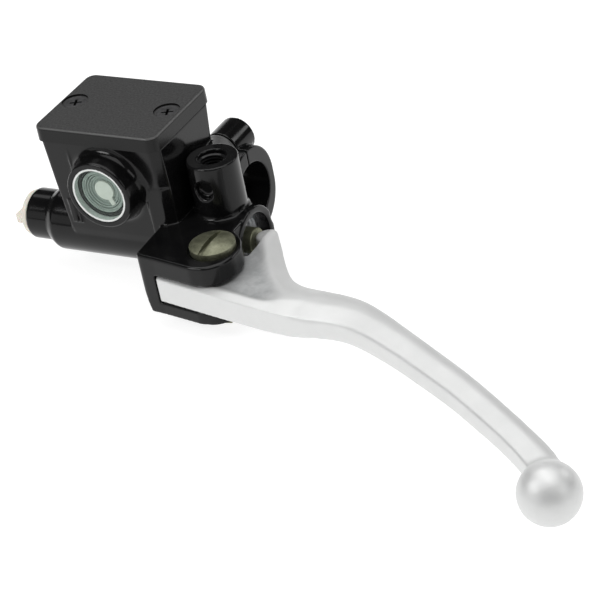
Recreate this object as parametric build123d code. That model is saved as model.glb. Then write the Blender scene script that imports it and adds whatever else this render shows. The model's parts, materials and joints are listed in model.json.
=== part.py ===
"""Front brake master cylinder for a 22 mm handlebar: cast body with reservoir, lever and clamp.

Frame, in mm: the origin is the centre of the handlebar bore. X runs along the bar towards the
lever's ball end, +Y points back through the bar, away from the sight glass, and +Z is up.
"""
from build123d import *
from math import sqrt
import os

os.makedirs("parts", exist_ok=True)

# ---- driving dimensions, mm ----
BAR_R = 11.0                 # 22 mm handlebar
CLAMP_R = 15.0               # outside of the clamp ring
CLAMP_RISE = 2.0             # the ring is this much taller than round, up and down
CLAMP_WIDTH = 21.0
SPLIT_GAP = 0.5              # between the two clamp halves when tightened
CLAMP_BOLT_Z = 15.6          # clamp bolts above and below the bar's centre
CLAMP_BOSS_R = 7.0
CLAMP_BOSS_END = 12.4        # back face of the cap's bolt bosses
CLAMP_HEAD_SEAT = 5.9        # M6 socket heads sit here, inside the bosses

BORE_Y, BORE_Z = -22.9, -4.5         # axis of the hydraulic bore
BORE_R = 7.0                         # 14 mm piston
OPEN_END, PORT_END = 23.0, -69.0     # both ends of the cylinder, along X
CYLINDER_R = 11.9
MOUTH_R = 12.5
PORT_BOSS_R = 9.3
SHOULDER_X = -56.0                   # where the narrow port boss widens into the cylinder
COUNTERBORE_R, COUNTERBORE_DEPTH = 9.9, 7.5
PORT_R, PORT_DEPTH = 5.0, 13.0       # M10 banjo port

COVER_X, COVER_Y = -23.6, -20.2      # centre of the reservoir cover
COVER_L, COVER_W = 49.3, 38.8
COVER_TOP, COVER_H = 43.1, 5.6
COVER_CORNER_R = 3.6
SCREW_REACH = 18.9                   # cover screws left and right of the cover's centre
SCREW_Y = -20.0
RIM_Z = 37.2                         # top of the reservoir's rim
FLOOR_Z = 11.6                       # reservoir floor

GLASS_X, GLASS_Z, GLASS_FACE_Y = -22.8, 21.4, -45.0
GLASS_R = 9.8
GLASS_RIM_R, GLASS_FOOT_R = 12.6, 14.4     # its boss at the face and at the wall
GLASS_BOSS_DEPTH = 11.5              # from the boss's face to inside the reservoir's wall

MIRROR_X, MIRROR_Y, MIRROR_TOP = 10.7, -21.7, 27.4
MIRROR_BOSS_R = 9.2
MIRROR_R, MIRROR_DEPTH = 5.0, 17.0   # M10 mirror thread, at its major radius
BOSS_FLOOR = 4.0                     # material under the thread that belongs to the boss

PIVOT_X, PIVOT_Y = 20.2, -45.6
EAR_TOP, SLOT_TOP = 7.2, -0.2        # upper ear of the lever bracket
SLOT_BOTTOM, EAR_BOTTOM = -11.2, -15.8
LEVER_GAP = 0.3
PIVOT_SHOULDER_R = 4.0
PIVOT_HEAD_R, PIVOT_HEAD_H, PIVOT_DOME = 8.0, 3.9, 1.6

NOSE_OUT = 7.1                      # pivot to the centre of the nose that pushes the piston
BALL_X, BALL_Y, BALL_Z, BALL_R = 171.0, -120.3, -9.0, 9.8


def x_cylinder(radius, start, end, y=BORE_Y, z=BORE_Z):
    """A solid cylinder along X from start to end."""
    base = Plane(origin=(start, y, z), x_dir=(0, 1, 0), z_dir=(1, 0, 0))
    return extrude(base * Circle(radius), amount=end - start)


def y_cylinder(radius, start, end, x, z):
    """A solid cylinder along Y from start to end."""
    base = Plane(origin=(x, start, z), x_dir=(1, 0, 0), z_dir=(0, 1, 0))
    return extrude(base * Circle(radius), amount=end - start)


def z_cylinder(radius, start, end, x, y):
    """A solid cylinder along Z from start to end."""
    return Pos(x, y, start) * extrude(Circle(radius), amount=end - start)


def ring_x(outer, inner, start, end, y=BORE_Y, z=BORE_Z):
    """A washer-like ring around the hydraulic bore."""
    return x_cylinder(outer, start, end, y, z) - x_cylinder(inner, start - 1, end + 1, y, z)


def block(x0, x1, y0, y1, z0, z1):
    """A box between two corners."""
    return Pos((x0 + x1) / 2, (y0 + y1) / 2, (z0 + z1) / 2) * Box(x1 - x0, y1 - y0, z1 - z0)


def rounded_section(x0, x1, y0, y1, z, corner):
    """A rounded rectangle at height z, as one face."""
    shape = RectangleRounded(x1 - x0, y1 - y0, corner)
    return Pos((x0 + x1) / 2, (y0 + y1) / 2, z) * shape


def outline(points, z0, z1, corner=0.0):
    """A prism with a polygon outline; every corner is rounded by the same radius."""
    face = make_face(Polyline(*points, close=True))
    if corner:
        face = fillet(face.vertices(), corner)
    return Pos(0, 0, z0) * extrude(face, amount=z1 - z0)


def soften(shape, edges, radii):
    """Round the edges with the first radius that the solid accepts."""
    for radius in radii:
        try:
            rounded = fillet(edges, radius)
            if rounded.is_valid and rounded.volume > 0:
                return rounded
        except Exception:
            continue
    return shape


def largest(shape):
    """The biggest solid of a shape, as one solid."""
    return max(shape.solids(), key=lambda solid: solid.volume)


def glass_place(depth):
    """A plane in the sight glass's boss, its normal pointing out of the glass."""
    centre = (GLASS_X, GLASS_FACE_Y + depth, GLASS_Z)
    return Plane(origin=centre, x_dir=(1, 0, 0), z_dir=(0, -1, 0))


def glass_disc(radius, depth0, depth1, inner=0.0, x=0.0, y=0.0):
    """A disc or ring in the sight glass's boss, between two depths under its face."""
    face = Pos(x, y) * Circle(radius)
    if inner:
        face = face - Pos(x, y) * Circle(inner)
    return extrude(glass_place(depth1) * face, amount=depth1 - depth0)


# ---- cast body ----
def reservoir_section(x0, x1, y0, y1, z):
    """Rectangle with a flat across its front right corner, as one face at height z."""
    points = [(x0, y0), (x1 - 3.3, y0), (x1, y0 + 2.4), (x1, y1), (x0, y1)]
    face = make_face(Polyline(*points, close=True))
    return Pos(0, 0, z) * fillet(face.vertices(), 1.1)


def reservoir_outside():
    rim = reservoir_section(-47.0, 0.6, -38.2, -2.9, RIM_Z)
    waist = reservoir_section(-46.8, 0.2, -36.8, -4.6, 20.0)
    foot = reservoir_section(-46.2, -0.4, -35.2, -8.0, 0.0)
    base = reservoir_section(-45.4, -1.2, -34.4, -12.0, -5.0)
    upper = loft([waist, rim], ruled=True)
    middle = loft([foot, waist], ruled=True)
    lower = loft([base, foot], ruled=True)
    return upper + middle + lower


def cylinder_outside():
    profile = Polyline(
        (PORT_END, 0), (OPEN_END, 0), (OPEN_END, MOUTH_R), (OPEN_END - 6.0, MOUTH_R),
        (OPEN_END - 8.0, CYLINDER_R), (SHOULDER_X, CYLINDER_R),
        (SHOULDER_X - 3.0, PORT_BOSS_R + 0.9), (SHOULDER_X - 3.5, PORT_BOSS_R),
        (PORT_END, PORT_BOSS_R), close=True,
    )
    face = make_face(Plane(origin=(0, BORE_Y, BORE_Z), x_dir=(1, 0, 0), z_dir=(0, -1, 0)) * profile)
    solid = revolve(face, Axis((0, BORE_Y, BORE_Z), (1, 0, 0)), 360)
    rings = solid.edges().filter_by(GeomType.CIRCLE)
    port_edge = rings.filter_by(lambda e: abs(e.center().X - PORT_END) < 0.01)
    solid = soften(solid, port_edge, (1.2, 0.8))
    rings = solid.edges().filter_by(GeomType.CIRCLE)
    shoulder = rings.filter_by(lambda e: abs(e.center().X - SHOULDER_X) < 0.01)
    return soften(solid, shoulder, (3.0, 2.0, 1.0))


def bracket_points():
    """Outline of the lever bracket seen from above, round the pivot at its right."""
    left = [(-5.6, -20.0), (-5.6, -36.0), (-5.0, -56.2), (2.8, -57.1)]
    nose = [(18.5, -59.6), (24.6, -59.0), (28.6, -55.2), (30.4, -50.4), (30.2, -43.6), (27.2, -38.2)]
    back = [(22.4, -34.9), (22.4, -20.0)]
    return left + nose + back


def bracket_solid():
    body = outline(bracket_points(), EAR_BOTTOM, EAR_TOP)
    corners = body.edges().filter_by(Axis.Z)
    body = soften(body, corners.filter_by(lambda e: e.center().Y < -37 and e.center().X > 10), (7.5, 5.0, 2.4))
    left_corners = body.edges().filter_by(Axis.Z).filter_by(lambda e: e.center().Y < -50 and e.center().X < 10)
    body = soften(body, left_corners, (2.4, 1.6))
    slant = Plane.XZ * make_face(
        Polyline((-9.0, 20.0), (-9.0, -1.0), (-5.8, -2.0), (-2.9, EAR_BOTTOM), (-2.9, -30.0),
                 (60.0, -30.0), (60.0, 20.0), close=True)
    )
    body = body & extrude(slant, amount=100, both=True)
    top = body.edges().filter_by(lambda e: abs(e.center().Z - EAR_TOP) < 0.01)
    body = soften(body, top, (1.0, 0.7))
    under = body.edges().filter_by(lambda e: abs(e.center().Z - EAR_BOTTOM) < 0.01)
    body = soften(body, under, (1.4, 0.8))
    return body


def lever_slot():
    """The space between the ears that the lever's hub, tail and finger move in."""
    points = [
        (1.5, -80.0), (1.5, -47.6), (9.5, -47.6), (11.2, -36.1), (16.5, -35.1),
        (23.5, -35.1), (60.0, -35.1), (60.0, -80.0),
    ]
    return outline(points, SLOT_BOTTOM, SLOT_TOP)


def clamp_ring():
    """Outside of both clamp halves: a ring a little taller than round."""
    half = CLAMP_WIDTH / 2
    ring = block(-half, half, -CLAMP_R, CLAMP_R, -CLAMP_RISE, CLAMP_RISE)
    for z in (-CLAMP_RISE, CLAMP_RISE):
        ring += x_cylinder(CLAMP_R, -half, half, 0, z)
    flanks = ring.edges().filter_by(lambda e: abs(abs(e.center().X) - half) < 0.01)
    return soften(ring, flanks, (0.8, 0.5))


def clamp_half_body():
    reach = -12.5
    half = clamp_ring() & block(-30, 30, -30, -SPLIT_GAP / 2, -30, 30)
    for side in (-1, 1):
        z = side * CLAMP_BOLT_Z
        half += y_cylinder(CLAMP_BOSS_R, reach, -SPLIT_GAP / 2, 0, z)
        inner, outer = sorted((side * 8.0, z))
        half += block(-CLAMP_BOSS_R, CLAMP_BOSS_R, reach, -SPLIT_GAP / 2, inner, outer)
    return half


def mirror_pillar():
    """The mirror boss over the bore and the neck from it back to the upper clamp bolt."""
    pillar = z_cylinder(MIRROR_BOSS_R, 0, MIRROR_TOP, MIRROR_X, MIRROR_Y)
    rim = pillar.edges().filter_by(GeomType.CIRCLE).sort_by(Axis.Z)[-1:]
    pillar = soften(pillar, rim, (0.5,))
    pillar += Pos(MIRROR_X, MIRROR_Y, EAR_TOP + 0.35) * Cone(MIRROR_BOSS_R + 1.0, MIRROR_BOSS_R, 1.1)
    start = Plane(origin=(0, -SPLIT_GAP / 2, 0), x_dir=(1, 0, 0), z_dir=(0, -1, 0))
    section = Pos(0, -CLAMP_BOLT_Z) * Circle(CLAMP_BOSS_R)
    section += Pos(0, -CLAMP_BOLT_Z / 2) * Rectangle(2 * CLAMP_BOSS_R, CLAMP_BOLT_Z)
    flipped = start * section
    if flipped.center().Z < 0:
        flipped = start * mirror(section, about=Plane.XZ)
    run = Vector(MIRROR_X, MIRROR_Y + SPLIT_GAP / 2, 3.2)
    return pillar + extrude(flipped, amount=run.length, dir=run.normalized())


def boss_foot(point):
    """True where the sight glass's boss meets the reservoir's front wall."""
    out = sqrt((point.X - GLASS_X) ** 2 + (point.Z - GLASS_Z) ** 2)
    return 13.0 < out < 15.0 and -39.5 < point.Y < -33.0


def casting():
    body = cylinder_outside() + reservoir_outside()
    boss_ends = [glass_place(GLASS_BOSS_DEPTH) * Circle(GLASS_FOOT_R), glass_place(0.0) * Circle(GLASS_RIM_R)]
    boss = loft(boss_ends, ruled=True)
    rim_edge = boss.edges().filter_by(GeomType.CIRCLE).sort_by(Axis.Y)[0]
    boss = soften(boss, [rim_edge], (0.5, 0.3))
    body += boss
    foot = body.edges().filter_by(lambda e: boss_foot(e.center()))
    body = soften(body, foot, (3.0, 2.4, 1.8, 1.2))
    body += bracket_solid()
    body += mirror_pillar()
    body += clamp_half_body()

    # raised land on the right of the front wall and the ribs beside the sight glass
    land = outline([(-9.4, -37.4), (-2.6, -37.0), (0.3, -34.6), (0.3, -24.0), (-9.4, -24.0)], 2.0, 21.4)
    body += soften(land, land.edges().filter_by(Axis.Z).sort_by(Axis.Y)[0:3], (1.2, 0.6))
    body += block(-37.2, -36.8, -38.0, -35.0, 22.0, 36.8)
    for step in range(3):
        x = -43.4 + 1.55 * step
        body += block(x, x + 0.7, -36.6, -33.5, 3.0, 12.6)

    # space for the handlebar, and the lever's slot between the ears
    body -= x_cylinder(BAR_R, -CLAMP_WIDTH / 2, CLAMP_WIDTH / 2, 0, 0)
    body -= x_cylinder(BAR_R + 0.6, -80, -CLAMP_WIDTH / 2, 0, 0)
    body -= x_cylinder(BAR_R + 0.6, CLAMP_WIDTH / 2, 60, 0, 0)
    body -= lever_slot()
    body = largest(body)

    # hydraulic bore, its open end and the banjo port
    body -= x_cylinder(BORE_R, PORT_END + PORT_DEPTH + 4.0, OPEN_END + 1)
    body -= x_cylinder(2.2, PORT_END, PORT_END + PORT_DEPTH + 5.0)
    body -= x_cylinder(PORT_R, PORT_END - 1, PORT_END + PORT_DEPTH)
    body -= x_cylinder(COUNTERBORE_R, OPEN_END - COUNTERBORE_DEPTH, OPEN_END + 1)
    mouth = Plane(origin=(OPEN_END, BORE_Y, BORE_Z), x_dir=(0, 1, 0), z_dir=(1, 0, 0))
    body -= mouth * Cone(COUNTERBORE_R - 0.1, COUNTERBORE_R + 0.9, 1.0)
    groove_start = OPEN_END - COUNTERBORE_DEPTH + 1.15
    body -= ring_x(10.6, 6.0, groove_start, groove_start + 1.25)

    # reservoir: cavity, screw pillars and ports down to the bore
    cavity = loft(
        [rounded_section(-43.2, -4.2, -33.2, -8.2, FLOOR_Z, 3.0),
         rounded_section(-44.2, -3.4, -35.4, -6.2, RIM_Z + 1.0, 3.0)],
        ruled=True,
    )
    for side in (-1, 1):
        x = COVER_X + side * SCREW_REACH
        pillar = z_cylinder(3.9, 20.0, RIM_Z + 2, x, SCREW_Y)
        wall_x = COVER_X + side * (SCREW_REACH + 5)
        x0, x1 = sorted((x, wall_x))
        pillar += block(x0, x1, SCREW_Y - 3.9, SCREW_Y + 3.9, 20.0, RIM_Z + 2)
        cavity -= pillar
    body -= cavity
    for side in (-1, 1):
        x = COVER_X + side * SCREW_REACH
        body -= z_cylinder(1.72, 26.0, RIM_Z + 1, x, SCREW_Y)
    body -= z_cylinder(0.5, 1.5, FLOOR_Z + 1, -13.0, BORE_Y)
    body -= z_cylinder(1.2, 1.0, FLOOR_Z + 1, -5.8, BORE_Y)

    # sight glass seat, open to the reservoir
    body -= glass_disc(GLASS_R + 0.7, -1.0, 3.6)
    body -= glass_disc(8.2, -1.0, GLASS_BOSS_DEPTH + 2.0)

    # mirror thread, clamp bolts, pivot and the round dimple under the mirror thread
    body -= z_cylinder(MIRROR_R, MIRROR_TOP - MIRROR_DEPTH, MIRROR_TOP + 1, MIRROR_X, MIRROR_Y)
    body -= Pos(MIRROR_X, MIRROR_Y, MIRROR_TOP) * Cone(MIRROR_R - 0.2, MIRROR_R + 0.8, 1.0)
    for side in (-1, 1):
        body -= y_cylinder(3.05, -11.5, 1.0, 0, side * CLAMP_BOLT_Z)
    body -= z_cylinder(PIVOT_SHOULDER_R + 0.06, SLOT_BOTTOM + 1, EAR_TOP + 1, PIVOT_X, PIVOT_Y)
    body -= z_cylinder(3.06, EAR_BOTTOM - 1, SLOT_BOTTOM + 2, PIVOT_X, PIVOT_Y)
    body -= z_cylinder(PIVOT_HEAD_R + 1.0, EAR_TOP - 0.9, EAR_TOP + 1, PIVOT_X, PIVOT_Y)
    dimple = Plane(origin=(MIRROR_X, MIRROR_Y, 18.6), x_dir=(1, 0, 0), z_dir=(0, -1, 0))
    body -= extrude(dimple.offset(6.4) * Circle(3.3), amount=4)
    return largest(body)


def casting_rest(body):
    """The casting without the parts that are nodes of their own."""
    return largest(body - mirror_boss_space() - reservoir_space())


def reservoir_shell(body):
    """The part of the casting round the fluid, as a node of its own."""
    return largest(body & reservoir_space())


def reservoir_space():
    """Everything from just under the reservoir's floor up, but not the clamp half behind it."""
    low, high = FLOOR_Z - 2.0, RIM_Z + 1.0
    beside_clamp, right = -CLAMP_WIDTH / 2 - 0.1, MIRROR_X - MIRROR_BOSS_R - 0.3
    space = block(-60, beside_clamp, -60, 10, low, high)
    space += block(beside_clamp, right, -60, -12.6, low, high)
    space += block(beside_clamp, -3.4, -12.6, -5.6, low, 22.8)
    space += block(beside_clamp, right, -12.6, 10, 22.8, high)
    return space


def mirror_boss(body):
    """The part of the casting round the mirror thread, as a node of its own."""
    return largest(body & mirror_boss_space())


def mirror_boss_space():
    reach = MIRROR_BOSS_R + 0.3
    bottom = MIRROR_TOP - MIRROR_DEPTH - BOSS_FLOOR
    return block(MIRROR_X - reach, MIRROR_X + reach, MIRROR_Y - reach, MIRROR_Y + reach, bottom, MIRROR_TOP + 1)


def cover():
    outer = rounded_section(
        COVER_X - COVER_L / 2, COVER_X + COVER_L / 2, COVER_Y - COVER_W / 2, COVER_Y + COVER_W / 2,
        COVER_TOP - COVER_H, COVER_CORNER_R)
    shell = extrude(outer, amount=COVER_H, taper=0.6)
    top = shell.faces().sort_by(Axis.Z)[-1]
    shell = soften(shell, top.edges(), (1.0, 0.7))
    inner = rounded_section(
        COVER_X - COVER_L / 2 + 1.8, COVER_X + COVER_L / 2 - 1.8, COVER_Y - COVER_W / 2 + 1.8,
        COVER_Y + COVER_W / 2 - 1.8, COVER_TOP - COVER_H, COVER_CORNER_R - 1.6)
    shell -= extrude(inner, amount=2.1)
    for side in (-1, 1):
        x = COVER_X + side * SCREW_REACH
        shell -= z_cylinder(4.75, COVER_TOP - 0.7, COVER_TOP + 1, x, SCREW_Y)
        shell -= z_cylinder(2.2, COVER_TOP - 6, COVER_TOP, x, SCREW_Y)
        shell -= Pos(x, SCREW_Y, COVER_TOP - 1.6) * Cone(2.2, 4.15, 1.9)
    return shell


def cover_screws():
    screws = []
    for side in (-1, 1):
        x = COVER_X + side * SCREW_REACH
        head = Pos(x, SCREW_Y, COVER_TOP - 1.72) * Cone(2.0, 3.95, 1.9)
        screw = head + z_cylinder(1.95, COVER_TOP - 4.0, COVER_TOP - 2.4, x, SCREW_Y)
        screw += z_cylinder(1.66, COVER_TOP - 14.0, COVER_TOP - 3.6, x, SCREW_Y)
        for turn in (0, 90):
            slot = Pos(x, SCREW_Y, COVER_TOP - 1.2) * Rot(0, 0, 22 + turn) * Box(4.4, 0.95, 1.6)
            screw -= slot
        screws.append(screw)
    return Compound(children=screws)


def diaphragm():
    z0, z1 = RIM_Z + 0.02, RIM_Z + 1.2
    inset = 2.1
    flange = extrude(rounded_section(
        COVER_X - COVER_L / 2 + inset, COVER_X + COVER_L / 2 - inset, COVER_Y - COVER_W / 2 + inset,
        COVER_Y + COVER_W / 2 - inset, z0, 2.0), amount=z1 - z0)
    pocket = rounded_section(-35.8, -10.4, -33.0, -9.4, z1, 3.0)
    well = extrude(pocket, amount=-8.0, taper=6)
    hollow = extrude(rounded_section(-34.8, -11.4, -32.0, -10.4, z1, 2.4), amount=-7.0, taper=6)
    sheet = flange + well - hollow
    for side in (-1, 1):
        sheet -= z_cylinder(2.3, z0 - 1, z1 + 1, COVER_X + side * SCREW_REACH, SCREW_Y)
    return sheet


def diaphragm_plate():
    z0, z1 = RIM_Z + 1.22, RIM_Z + 2.3
    inset = 2.1
    plate = extrude(rounded_section(
        COVER_X - COVER_L / 2 + inset, COVER_X + COVER_L / 2 - inset, COVER_Y - COVER_W / 2 + inset,
        COVER_Y + COVER_W / 2 - inset, z0, 2.0), amount=z1 - z0)
    plate -= block(-33.0, -13.2, -28.0, -13.8, z0 - 1, z1 + 1)
    for side in (-1, 1):
        plate -= z_cylinder(2.3, z0 - 1, z1 + 1, COVER_X + side * SCREW_REACH, SCREW_Y)
    return plate


def port_baffle():
    plate = block(-18.4, -5.0, -30.4, -15.4, FLOOR_Z + 2.4, FLOOR_Z + 3.0)
    plate = soften(plate, plate.edges().filter_by(Axis.Z), (2.0,))
    for x in (-16.6, -6.8):
        for y in (-28.6, -17.2):
            plate += z_cylinder(0.9, FLOOR_Z, FLOOR_Z + 2.5, x, y)
    return plate


# ---- sight glass ----
def sight_glass_lens():
    lens = glass_disc(GLASS_R, 0.5, 2.6)
    return lens


def sight_glass_ring():
    return glass_disc(GLASS_R + 0.68, 0.25, 2.6, inner=GLASS_R + 0.02)


def sight_glass_oring():
    torus = Torus(9.2, 0.45)
    return glass_place(3.1) * torus


def sight_glass_reflector():
    """Stepped cup behind the lens that carries the light disc and its tab."""
    cup = glass_disc(8.2, 2.65, 3.5, inner=6.9) + glass_disc(8.2, 3.5, 4.4, inner=5.7)
    cup += glass_disc(8.2, 4.4, 5.2, inner=4.4)
    disc = glass_disc(3.7, 4.6, 5.2)
    tab = extrude(glass_place(5.2) * Pos(1.6, -4.4) * Rot(0, 0, 22) * Rectangle(1.9, 4.4), amount=0.6)
    return cup + disc + tab


# ---- hydraulics ----
PISTON_SHOULDER = OPEN_END - COUNTERBORE_DEPTH - 0.3
SLIDE_R = BORE_R - 0.05
ROD_R = 4.7
CUP_X0, CUP_X1 = -12.4, -9.65
CUP_FLOOR_X = CUP_X0 + 0.55 * (CUP_X1 - CUP_X0)


def piston():
    body = x_cylinder(SLIDE_R, 10.2, PISTON_SHOULDER)
    body += x_cylinder(4.4, -9.0, 10.2)
    body += x_cylinder(SLIDE_R, 4.0, 6.6)
    body += x_cylinder(SLIDE_R, -9.6, -6.6)
    body += x_cylinder(3.0, -14.2, -9.0)
    rod = x_cylinder(ROD_R, PISTON_SHOULDER - 0.5, OPEN_END)
    body += soften(rod, rod.edges().filter_by(GeomType.CIRCLE).sort_by(Axis.X)[-1:], (0.5,))
    dimple = Pos(OPEN_END + 0.5, BORE_Y, BORE_Z) * Sphere(1.5)
    return body - dimple


def cup_seal(x0, x1, hub):
    """A lip seal round the piston; its open side faces the port end."""
    seal = ring_x(SLIDE_R, hub, x0, x1)
    lip = ring_x(SLIDE_R - 0.9, hub + 0.9, x0 - 1, x0 + (x1 - x0) * 0.55)
    return seal - lip


def return_spring():
    wire_r, coil_r, coils = 0.6, 5.3, 8
    start_x = PORT_END + PORT_DEPTH + 4.0 + wire_r + 0.02
    length = CUP_FLOOR_X - wire_r - 0.02 - start_x
    helix = Helix(pitch=length / coils, height=length, radius=coil_r)
    path = Plane(origin=(start_x, BORE_Y, BORE_Z), x_dir=(0, 1, 0), z_dir=(1, 0, 0)) * helix
    start = path @ 0
    section = Plane(origin=start, z_dir=path % 0) * Circle(wire_r)
    return sweep(section, path=path)


def stop_washer():
    face = OPEN_END - COUNTERBORE_DEPTH
    return ring_x(9.7, ROD_R + 0.3, face, face + 1.1)


def circlip():
    face = OPEN_END - COUNTERBORE_DEPTH + 1.2
    clip = ring_x(10.5, 8.6, face, face + 1.15)
    gap = block(face - 1, face + 3, BORE_Y - 3.2, BORE_Y + 3.2, BORE_Z - 14, BORE_Z - 5)
    clip -= gap
    for side in (-1, 1):
        ear = x_cylinder(1.7, face, face + 1.15, BORE_Y + side * 3.4, BORE_Z - 7.6)
        ear -= x_cylinder(0.7, face - 1, face + 2, BORE_Y + side * 3.4, BORE_Z - 7.6)
        clip += ear
    return clip


def banjo_plug():
    stem = x_cylinder(4.9, PORT_END + 0.0, PORT_END + 8.0)
    flange = x_cylinder(8.3, PORT_END - 2.3, PORT_END - 0.05)
    flange = soften(flange, flange.edges().filter_by(GeomType.CIRCLE), (0.7,))
    neck = x_cylinder(4.9, PORT_END - 0.4, PORT_END + 0.4)
    grip = block(PORT_END - 7.0, PORT_END - 1.8, BORE_Y - 6.4, BORE_Y + 6.4, BORE_Z - 1.3, BORE_Z + 1.3)
    grip = soften(grip, grip.edges().filter_by(Axis.Z), (2.2,))
    return stem + neck + flange + grip


# ---- lever ----
# stations of the lever's arm: centre x, y, z, then width in plan and height
ARM_STATIONS = [
    (52.0, -56.9, -5.7, 16.7, 10.2),
    (62.0, -57.6, -5.65, 17.0, 10.0),
    (75.0, -58.2, -5.6, 15.0, 9.8),
    (85.6, -61.7, -5.6, 13.0, 9.5),
    (100.2, -69.1, -5.8, 11.2, 9.2),
    (114.4, -77.0, -6.1, 10.6, 9.0),
    (127.8, -84.8, -6.4, 10.1, 8.9),
    (141.2, -93.6, -6.8, 9.8, 8.8),
    (151.8, -100.9, -7.2, 9.6, 8.7),
    (161.3, -108.1, -7.6, 9.8, 8.8),
    (169.8, -115.7, -8.0, 10.0, 9.0),
]


def arm():
    """The lever's arm, lofted through rounded sections square to its run."""
    sections = []
    last = len(ARM_STATIONS) - 1
    for i, (x, y, z, width, height) in enumerate(ARM_STATIONS):
        before = ARM_STATIONS[max(i - 1, 0)]
        after = ARM_STATIONS[min(i + 1, last)]
        run = Vector(after[0] - before[0], after[1] - before[1], 0)
        side = Vector(0, 0, 1).cross(run)
        place = Plane(origin=(x, y, z), x_dir=side, z_dir=run)
        sections.append(place * RectangleRounded(width, height, 0.34 * height))
    return loft(sections)


def hub_plan():
    """Outline of the lever's flat hub, tail and finger seen from above."""
    front = [(1.9, -57.0), (21.0, -60.4), (45.0, -64.4), (58.0, -66.0)]
    back = [(60.0, -58.0), (58.0, -49.4), (54.0, -48.4), (49.6, -45.8), (45.2, -41.3),
            (39.6, -33.8), (35.8, -28.4), (32.0, -23.2), (30.4, -20.6)]
    finger = [(27.4, -20.2), (27.0, -34.2)]
    tail = [(27.4, -37.0), (20.2, -36.1), (14.4, -38.2), (10.8, -43.0), (9.8, -48.0), (1.9, -48.4)]
    return front + back + finger + tail


def lever():
    top, bottom = SLOT_TOP - LEVER_GAP, SLOT_BOTTOM + LEVER_GAP
    plate = outline(hub_plan(), bottom, top)
    web = plate.edges().filter_by(Axis.Z).filter_by(lambda e: 53 < e.center().X < 60 and e.center().Y > -52)
    plate = soften(plate, web, (3.0, 1.5))
    rims = plate.edges().filter_by(lambda e: e.center().X > 29 and abs(e.tangent_at(0.5).Z) < 0.1)
    plate = soften(plate, rims, (1.6, 1.0, 0.6))
    nose = z_cylinder(4.0, BORE_Z - 3.6, BORE_Z + 3.2, PIVOT_X + NOSE_OUT, BORE_Y)
    body = plate + nose + arm()
    body += Pos(BALL_X, BALL_Y, BALL_Z) * Sphere(BALL_R)
    body -= z_cylinder(5.52, -20, 10, PIVOT_X, PIVOT_Y)
    return body


def pivot_bush():
    z0, z1 = SLOT_BOTTOM + LEVER_GAP - 0.12, SLOT_TOP - LEVER_GAP + 0.12
    return z_cylinder(5.5, z0, z1, PIVOT_X, PIVOT_Y) - z_cylinder(4.06, z0 - 1, z1 + 1, PIVOT_X, PIVOT_Y)


def pivot_bolt():
    seat = EAR_TOP - 0.9
    head = z_cylinder(PIVOT_HEAD_R, seat, seat + PIVOT_HEAD_H, PIVOT_X, PIVOT_Y)
    dome_r = (PIVOT_HEAD_R ** 2 + PIVOT_DOME ** 2) / (2 * PIVOT_DOME)
    dome = Pos(PIVOT_X, PIVOT_Y, seat + PIVOT_HEAD_H - dome_r) * Sphere(dome_r)
    head = head & dome
    rim = head.edges().filter_by(GeomType.CIRCLE).sort_by(Axis.Z)[-1:]
    head = soften(head, rim, (0.4, 0.25))
    slot_plane = Pos(PIVOT_X, PIVOT_Y, seat + PIVOT_HEAD_H) * Rot(0, 0, 88)
    head -= slot_plane * Box(2 * PIVOT_HEAD_R + 2, 1.9, 3.4)
    shank = z_cylinder(PIVOT_SHOULDER_R, SLOT_BOTTOM + 0.02, seat + 0.1, PIVOT_X, PIVOT_Y)
    thread = z_cylinder(3.0, EAR_BOTTOM - 6.4, SLOT_BOTTOM + 1, PIVOT_X, PIVOT_Y)
    thread = soften(thread, thread.edges().filter_by(GeomType.CIRCLE).sort_by(Axis.Z)[:1], (0.5,))
    return head + shank + thread


def pivot_nut():
    face = RegularPolygon(radius=5.0, side_count=6, major_radius=False)
    nut = Pos(PIVOT_X, PIVOT_Y, EAR_BOTTOM - 5.0) * Rot(0, 0, 12) * extrude(face, amount=5.0)
    return nut - z_cylinder(3.02, EAR_BOTTOM - 8, EAR_BOTTOM + 1, PIVOT_X, PIVOT_Y)


# ---- handlebar clamp ----
def clamp_cap():
    cap = clamp_ring() & block(-30, 30, SPLIT_GAP / 2, 30, -30, 30)
    for side in (-1, 1):
        z = side * CLAMP_BOLT_Z
        cap += y_cylinder(CLAMP_BOSS_R, SPLIT_GAP / 2, CLAMP_BOSS_END, 0, z)
        inner, outer = sorted((side * 7.0, z))
        cap += block(-CLAMP_BOSS_R, CLAMP_BOSS_R, SPLIT_GAP / 2, 10.0, inner, outer)
    ends = cap.edges().filter_by(GeomType.CIRCLE).filter_by(
        lambda e: abs(e.center().Y - CLAMP_BOSS_END) < 0.6)
    cap = soften(cap, ends, (1.2, 0.8))
    cap -= x_cylinder(BAR_R, -30, 30, 0, 0)
    for side in (-1, 1):
        z = side * CLAMP_BOLT_Z
        cap -= y_cylinder(3.3, -1, CLAMP_BOSS_END + 1, 0, z)
        cap -= y_cylinder(5.25, CLAMP_HEAD_SEAT, CLAMP_BOSS_END + 1, 0, z)
    return largest(cap)


def clamp_bolts():
    bolts = []
    for side in (-1, 1):
        z = side * CLAMP_BOLT_Z
        head = y_cylinder(5.0, CLAMP_HEAD_SEAT, CLAMP_HEAD_SEAT + 6.0, 0, z)
        head = soften(head, head.edges().filter_by(GeomType.CIRCLE).sort_by(Axis.Y)[-1:], (0.5,))
        key = Plane(origin=(0, CLAMP_HEAD_SEAT + 2.6, z), x_dir=(1, 0, 0), z_dir=(0, 1, 0))
        head -= extrude(key * RegularPolygon(radius=2.5, side_count=6, major_radius=False), amount=6)
        bolts.append(head + y_cylinder(3.0, -9.8, CLAMP_HEAD_SEAT + 0.1, 0, z))
    return Compound(children=bolts)


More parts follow.
